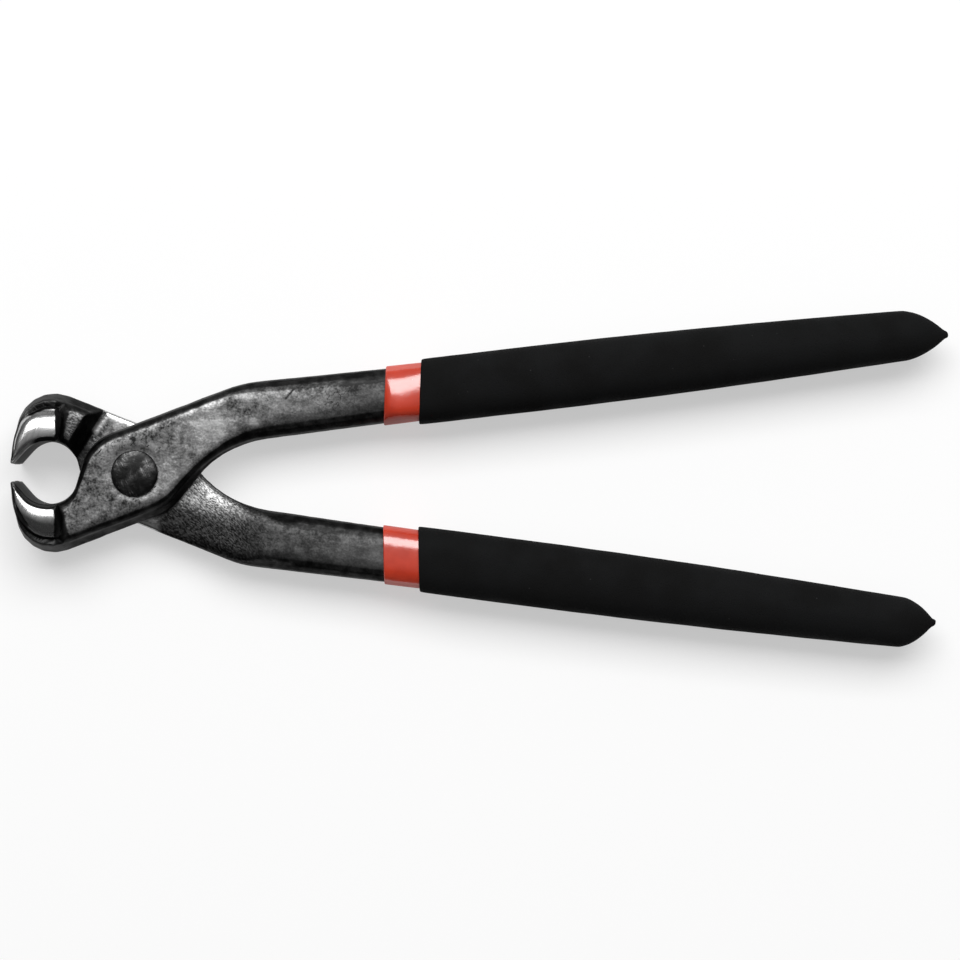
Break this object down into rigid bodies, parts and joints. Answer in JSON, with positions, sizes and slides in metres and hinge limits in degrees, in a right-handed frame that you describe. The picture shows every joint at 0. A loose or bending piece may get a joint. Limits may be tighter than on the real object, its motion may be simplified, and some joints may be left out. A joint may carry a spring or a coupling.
{
  "type": "concreters nippers",
  "caption": "Long-handled end-cutting nippers: lapped forged levers on a rivet, wide ground jaws with a round bowl behind the edges, red and black dipped grips.",
  "frame": {"origin": "middle of the tool's footprint, at the level of the jaw sides it lies on", "axes": "+X along the tool towards the grips, +Z along the pivot towards the front lever, +Y towards the front lever's grip"},
  "size_m": [0.2484, 0.0894, 0.021],
  "materials": {
    "forged_steel": "forged and blackened, jaw sides ground bright",
    "rivet_steel": "blackened, lightly scuffed",
    "red_vinyl": "glossy dipped vinyl",
    "black_vinyl": "matt, fine-grained dipped vinyl"
  },
  "bodies": {
    "front_half": {"front_lever": "forged_steel", "pivot_rivet": "rivet_steel", "upper_red_dip": "red_vinyl", "upper_black_grip": "black_vinyl"},
    "rear_half": {"rear_lever": "forged_steel", "lower_red_dip": "red_vinyl", "lower_black_grip": "black_vinyl"}
  },
  "joints": [
    {"name": "lever_pivot", "type": "hinge", "parent": "front_half", "child": "rear_half", "pos_m": [-0.09146, -0.00002, 0.0105], "axis": [0, 0, -1], "range_deg": [-7.2, 54]}
  ]
}
